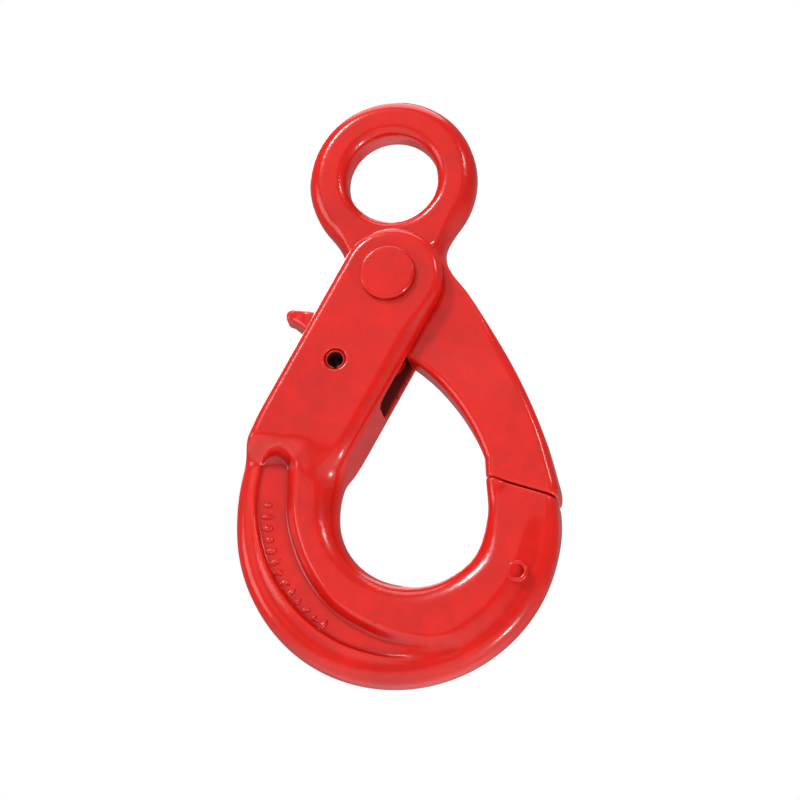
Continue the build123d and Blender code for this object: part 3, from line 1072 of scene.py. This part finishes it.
class HOOK_OT_marks(bpy.types.Operator):
    """Build the plain raised forging marks in the recess and near the nose"""
    bl_idname = "hook.marks"
    bl_label = "Forging marks"

    def execute(self, context):
        sizes, look = sizes_and_finish(context)
        tree, ids, given, add = node_tree(
            "hook_marks_maker", Float="Arc Radius, Start, Sweep, Ring Radius, Ring Wire",
            Int="Count", Vector="Stroke, Arc Centre, Ring Centre", Material="Finish")
        path = add("CurveArc", {}, {
            "Resolution": 64, "Radius": given["Arc Radius"], "Start Angle": given["Start"],
            "Sweep Angle": given["Sweep"]})
        bead = add("MeshUVSphere", {}, {"Segments": 16, "Rings": 10, "Radius": 1.0})
        bead = add("Transform", {}, {"Geometry": bead, "Scale": given["Stroke"]})
        points = add("CurveToPoints", {}, {"Curve": path,
                                                       "Count": given["Count"]}).node
        shift = self.vary(add, (-0.0012, -0.0004, 0.0), (0.0012, 0.0004, 0.0), 11)
        moved = add("SetPosition", {}, {"Geometry": points.outputs["Points"],
                                                    "Offset": shift})
        row = self.strokes(add, bead, points, points.outputs["Points"],
                           self.vary(add, (0.8, 0.35, 1.0), (1.5, 1.05, 1.0), 7))
        across = self.strokes(add, bead, points, moved,
                              self.vary(add, (0.8, 0.3, 0.9), (1.0, 0.62, 1.0), 3))
        across = add("RotateInstances", {}, {
            "Instances": across, "Rotation": (0.0, 0.0, math.radians(90.0))})
        loop = add("CurvePrimitiveCircle", {}, {
            "Resolution": 40, "Radius": given["Ring Radius"]})
        section = add("CurvePrimitiveCircle", {}, {
            "Resolution": 12, "Radius": given["Ring Wire"]})
        ring = add("CurveToMesh", {}, {"Curve": loop, "Profile Curve": section})
        laid = [add("Transform", {}, {
            "Geometry": part, "Rotation": (math.radians(90.0), 0.0, 0.0),
            "Translation": given[centre]})
            for part, centre in ((joined(tree, across, row), "Arc Centre"),
                                 (ring, "Ring Centre"))]
        end_tree(tree, add, joined(tree, *laid), given["Finish"])
        skin = skin_depth(body_plan(), body_shape(sizes), EMBLEM) / MM
        obj = grown("raised_marks", tree, ids, {
            "Arc Radius": MARKS_R / MM, "Start": math.radians(MARKS_FROM),
            "Sweep": math.radians(MARKS_SWEEP), "Count": MARKS,
            "Stroke": tuple(c / MM for c in STROKE),
            "Arc Centre": (BOWL_C[0] / MM, -sizes.web_half, BOWL_C[1] / MM),
            "Ring Radius": RING_R / MM, "Ring Wire": RING_WIRE / MM,
            "Ring Centre": (EMBLEM[0] / MM, -skin, EMBLEM[1] / MM),
            "Finish": enamel("hook_marks_finish", look, bends=False)})
        close_up(obj)
        stand_in(obj, None, "hook")
        return {"FINISHED"}

    def vary(self, add, low, high, seed):
        return add("FunctionNodeRandomValue", {"data_type": "FLOAT_VECTOR"},
                   {"Min": low, "Max": high, "Seed": seed})

    def strokes(self, add, bead, points, at, scale):
        """A bead at each place, turned along the row and scaled at random."""
        turn = add("FunctionNodeAlignEulerToVector", {"axis": "X", "pivot_axis": "Z"},
                   {"Vector": points.outputs["Tangent"]})
        return add("InstanceOnPoints", {}, {
            "Points": at, "Instance": bead, "Rotation": turn, "Scale": scale})


VIEW_TURN, VIEW_LIFT, VIEW_ROLL = 7.0, -19.7, -3.4  # degrees
VIEW_AT = Vector((-0.0046, 0.0214, -0.0580))
VIEW_FROM, VIEW_LENS = 2.5, 393.2  # metres, millimetres
ROOM_LIGHT, ROOM_GLOSS = 0.40, 0.22  # room round the hook: its light, its reflection
WHITE = (1.0, 1.0, 1.0)
LIGHT_AIM = Vector((0.0, 0.0, -0.07))
LIGHTS = (  # name, place, size in m, power in W, colour
    ("front", (-0.45, -2.0, 1.0), 2.4, 6.0, (1.0, 0.99, 0.98)),
    ("key", (-1.0, -1.6, 1.6), 0.50, 36.0, (1.0, 0.985, 0.96)),
    ("left", (-1.9, -0.9, 0.1), 1.1, 9.0, (1.0, 0.99, 0.99)),
    ("side", (1.3, -1.2, 0.9), 0.30, 5.0, WHITE),
    ("low", (0.85, -0.42, -0.86), 0.14, 5.0, WHITE),
    ("back", (-0.9, 1.9, 1.7), 1.6, 26.0, WHITE),
    ("top", (0.0, 0.3, 2.6), 2.6, 40.0, WHITE))
FLOOR_HALF, FLOOR_Z = 6.0, -1.05


class HOOK_OT_stage(bpy.types.Operator):
    """Build the floor, the lights and the camera"""
    bl_idname = "hook.stage"
    bl_label = "Floor, lights and camera"

    def execute(self, context):
        self.floor(context.scene.hook_finish)
        for light in LIGHTS:
            self.light(*light)
        self.surroundings(context)
        self.camera(context)
        return {"FINISHED"}

    def surroundings(self, context):
        """White all round to the eye, and a dimmer grey room to the hook."""
        world = bpy.data.worlds.new("soft_studio")
        world.use_nodes = True
        tree = world.node_tree
        tree.nodes.clear()
        seen = tree.nodes.new("ShaderNodeLightPath")
        out = tree.nodes.new("ShaderNodeOutputWorld")
        last = None
        for strength, ray in ((ROOM_LIGHT, None), (ROOM_GLOSS, "Is Glossy Ray"),
                              (1.0, "Is Camera Ray")):
            shade = tree.nodes.new("ShaderNodeBackground")
            shade.inputs["Color"].default_value = (*WHITE, 1.0)
            shade.inputs["Strength"].default_value = strength
            if ray:
                choice = tree.nodes.new("ShaderNodeMixShader")
                tree.links.new(seen.outputs[ray], choice.inputs[0])
                tree.links.new(last, choice.inputs[1])
                tree.links.new(shade.outputs[0], choice.inputs[2])
                shade = choice
            last = shade.outputs[0]
        tree.links.new(last, out.inputs["Surface"])
        context.scene.world = world
        context.scene.view_settings.view_transform = "Standard"

    def floor(self, look):
        h, mesh = FLOOR_HALF, bpy.data.meshes.new("floor")
        mesh.from_pydata([(x, y, FLOOR_Z) for x, y in ((-h, -h), (h, -h), (h, h), (-h, h))],
                         [], [(0, 1, 2, 3)])
        floor = linked("floor", mesh)
        put_on(floor, pale_floor, look.ground)

    def light(self, name, place, size, power, tint):
        lamp = bpy.data.lights.new(name + "_light", "AREA")
        lamp.shape, lamp.size, lamp.energy, lamp.color = "DISK", size, power, tint
        holder = linked(name + "_light", lamp)
        holder.location = place
        holder.rotation_euler = (LIGHT_AIM - Vector(place)).to_track_quat("-Z", "Y").to_euler()

    def camera(self, context):
        a, e = math.radians(VIEW_TURN), math.radians(VIEW_LIFT)
        back = Vector((math.sin(a) * math.cos(e), -math.cos(a) * math.cos(e), math.sin(e)))
        lens = bpy.data.cameras.new("view")
        lens.lens, lens.sensor_width = VIEW_LENS, 36.0
        lens.clip_start, lens.clip_end = 0.05, 20.0
        camera = linked("view", lens)
        turn = (-back).to_track_quat("-Z", "Y").to_matrix()
        turn = turn @ Matrix.Rotation(math.radians(VIEW_ROLL), 3, "Z")
        camera.matrix_world = Matrix.Translation(VIEW_AT + back * VIEW_FROM) @ turn.to_4x4()
        context.scene.camera = camera


class HOOK_PT_panel(bpy.types.Panel):
    """Sizes, finishes and build buttons of the hook"""
    bl_label = "Self-locking eye hook"
    bl_idname = "HOOK_PT_panel"
    bl_space_type = "VIEW_3D"
    bl_region_type = "UI"
    bl_category = "Hook"

    def draw(self, context):
        layout = self.layout
        for group in (context.scene.hook_sizes, context.scene.hook_finish):
            column = layout.column(align=True)
            for name in group.__annotations__:
                column.prop(group, name)
        for operator in OPERATORS:
            layout.operator(operator.bl_idname)


OPERATORS = (HOOK_OT_eye_arm, HOOK_OT_hook_body, HOOK_OT_trigger, HOOK_OT_pins,
             HOOK_OT_spring, HOOK_OT_marks, HOOK_OT_stage)
CLASSES = (HookSizes, HookFinish, *OPERATORS, HOOK_PT_panel)


def register():
    for cls in CLASSES:
        bpy.utils.register_class(cls)
    bpy.types.Scene.hook_sizes = bpy.props.PointerProperty(type=HookSizes)
    bpy.types.Scene.hook_finish = bpy.props.PointerProperty(type=HookFinish)


def unregister():
    del bpy.types.Scene.hook_finish
    del bpy.types.Scene.hook_sizes
    for cls in reversed(CLASSES):
        bpy.utils.unregister_class(cls)


def main():
    register()
    for operator in OPERATORS:
        group, name = operator.bl_idname.split(".")
        getattr(getattr(bpy.ops, group), name)()


if __name__ == "__main__":
    main()
